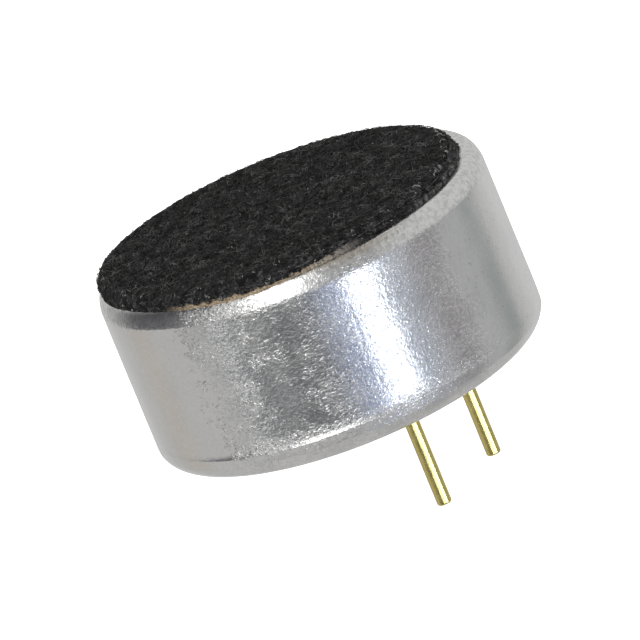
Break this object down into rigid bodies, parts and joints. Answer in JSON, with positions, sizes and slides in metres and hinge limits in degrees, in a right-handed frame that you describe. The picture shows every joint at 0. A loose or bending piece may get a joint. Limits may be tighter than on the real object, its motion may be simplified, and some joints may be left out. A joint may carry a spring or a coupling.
{
  "type": "electret microphone capsule",
  "caption": "Round electret microphone capsule: aluminium can with a rolled rear edge, black dust felt on the sound inlet and gold-coloured solder pins behind.",
  "frame": {"origin": "on the can's axis, in the plane of the rolled rear edge that seats on a circuit board", "axes": "+Z along the can's axis towards the sound inlet, -Z along the terminal pins, +X from the ground pin to the output pin"},
  "size_m": [0.0098, 0.0096, 0.0075],
  "materials": {
    "can_aluminium": "drawn sheet with fine grain and small scratches",
    "black_felt": "fibrous",
    "adhesive": "matt",
    "ring_brass": "satin",
    "film": "metallised",
    "spacer": "clear amber",
    "holder": "moulded",
    "copper": "etched copper",
    "board": "glass laminate with green mask",
    "package": "moulded",
    "tin": "tinned",
    "pin_gold": "gold flash over brass"
  },
  "bodies": {
    "root": {"can": "can_aluminium", "dust_felt": "black_felt", "felt_adhesive": "adhesive", "diaphragm_ring": "ring_brass", "diaphragm_film": "film", "spacer_ring": "spacer", "back_plate": "ring_brass", "plate_holder": "holder", "gate_ring": "ring_brass", "circuit_board": "board", "gate_track": "copper", "source_track": "copper", "drain_track": "copper", "ground_copper": "copper", "output_copper": "copper", "jfet_body": "package", "jfet_gate_lead": "tin", "jfet_source_lead": "tin", "jfet_drain_lead": "tin", "jfet_solder": "tin", "ground_pin": "pin_gold", "output_pin": "pin_gold", "ground_pin_solder": "tin", "output_pin_solder": "tin"}
  },
  "joints": []
}
